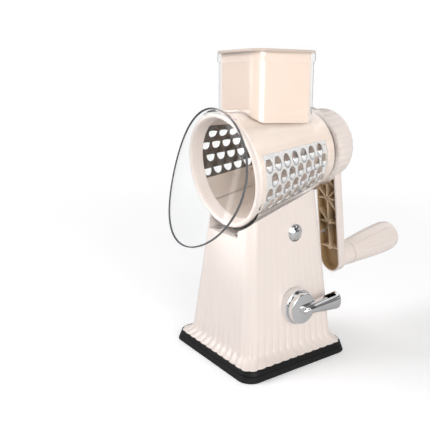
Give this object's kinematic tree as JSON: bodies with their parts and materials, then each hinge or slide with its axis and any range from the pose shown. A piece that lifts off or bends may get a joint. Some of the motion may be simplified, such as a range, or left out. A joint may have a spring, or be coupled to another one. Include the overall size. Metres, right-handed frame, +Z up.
{
  "type": "hand-cranked rotary drum shredder",
  "caption": "Tabletop rotary drum shredder with a cranked conical grating drum, clear hopper and sleeve, pusher, splash guard and lever-locked suction base.",
  "frame": {"origin": "centre of the base's underside, on the table", "axes": "+Z up, -Y towards the drum's open front end, +Y towards the crank, +X the side with the release button and the lever"},
  "size_m": [0.1317, 0.2999, 0.3],
  "materials": {
    "cream_plastic": "semi-gloss cream",
    "clear_plastic": "clear, polished",
    "clear_guard": "clear sheet with a dark grey edge",
    "black_plastic": "matt black",
    "dark_plastic": "moulded dark grey",
    "pad_rubber": "matt black rubber",
    "chrome_trim": "bright plated",
    "blade_steel": "stamped and polished sheet",
    "screw_steel": "plain steel"
  },
  "bodies": {
    "base": {"suction_pad": "pad_rubber", "base_plate": "black_plastic", "tower": "cream_plastic", "cam_bracket": "dark_plastic", "lever_collar": "chrome_trim", "button_bezel": "chrome_trim", "latch_guide": "dark_plastic", "clear_housing": "clear_plastic", "splash_guard": "clear_guard", "shaft_bushing": "dark_plastic"},
    "lever": {"lever_arm": "chrome_trim", "lever_hub": "chrome_trim", "cam_shaft": "screw_steel", "cam": "dark_plastic"},
    "stem": {"suction_stem": "dark_plastic"},
    "latch": {"release_button": "chrome_trim", "latch_slide": "dark_plastic"},
    "pusher": {"pusher_body": "cream_plastic", "pusher_cap": "cream_plastic"},
    "drum": {"drum_ring": "cream_plastic", "drum_half_a": "cream_plastic", "drum_half_b": "cream_plastic", "blade_a": "blade_steel", "blade_b": "blade_steel", "drum_boss": "cream_plastic", "drum_nut": "screw_steel", "drive_shaft": "screw_steel", "crank": "cream_plastic", "crank_cap": "cream_plastic", "grip_spindle": "screw_steel"},
    "grip": {"grip": "cream_plastic", "grip_cap": "cream_plastic"}
  },
  "joints": [
    {"name": "lever_turn", "type": "hinge", "parent": "base", "child": "lever", "pos_m": [0.06, 0.0058, 0.0577], "axis": [1, 0, 0], "range_deg": [0, 90]},
    {"name": "stem_lift", "type": "slide", "parent": "base", "child": "stem", "axis": [0, 0, 1], "range_m": [0, 0.00401]},
    {"name": "button_press", "type": "slide", "parent": "base", "child": "latch", "axis": [-1, 0, 0], "range_m": [0, 0.003], "stiffness_N_per_m": 400, "springref_m": -0.003},
    {"name": "pusher_slide", "type": "slide", "parent": "base", "child": "pusher", "axis": [0, 0, 1], "range_m": [0, 0.09]},
    {"name": "drum_turn", "type": "hinge", "parent": "base", "child": "drum", "pos_m": [0, -0.047, 0.1892], "axis": [0, 0.9903, 0.1392], "continuous": true},
    {"name": "grip_turn", "type": "hinge", "parent": "drum", "child": "grip", "pos_m": [0, -0.02835, 0.0565], "axis": [0, 0.9903, 0.1392], "continuous": true}
  ],
  "couplings": [
    {"joint": "stem_lift", "follows": "lever_turn", "m_per_rad": 0.002546}
  ]
}
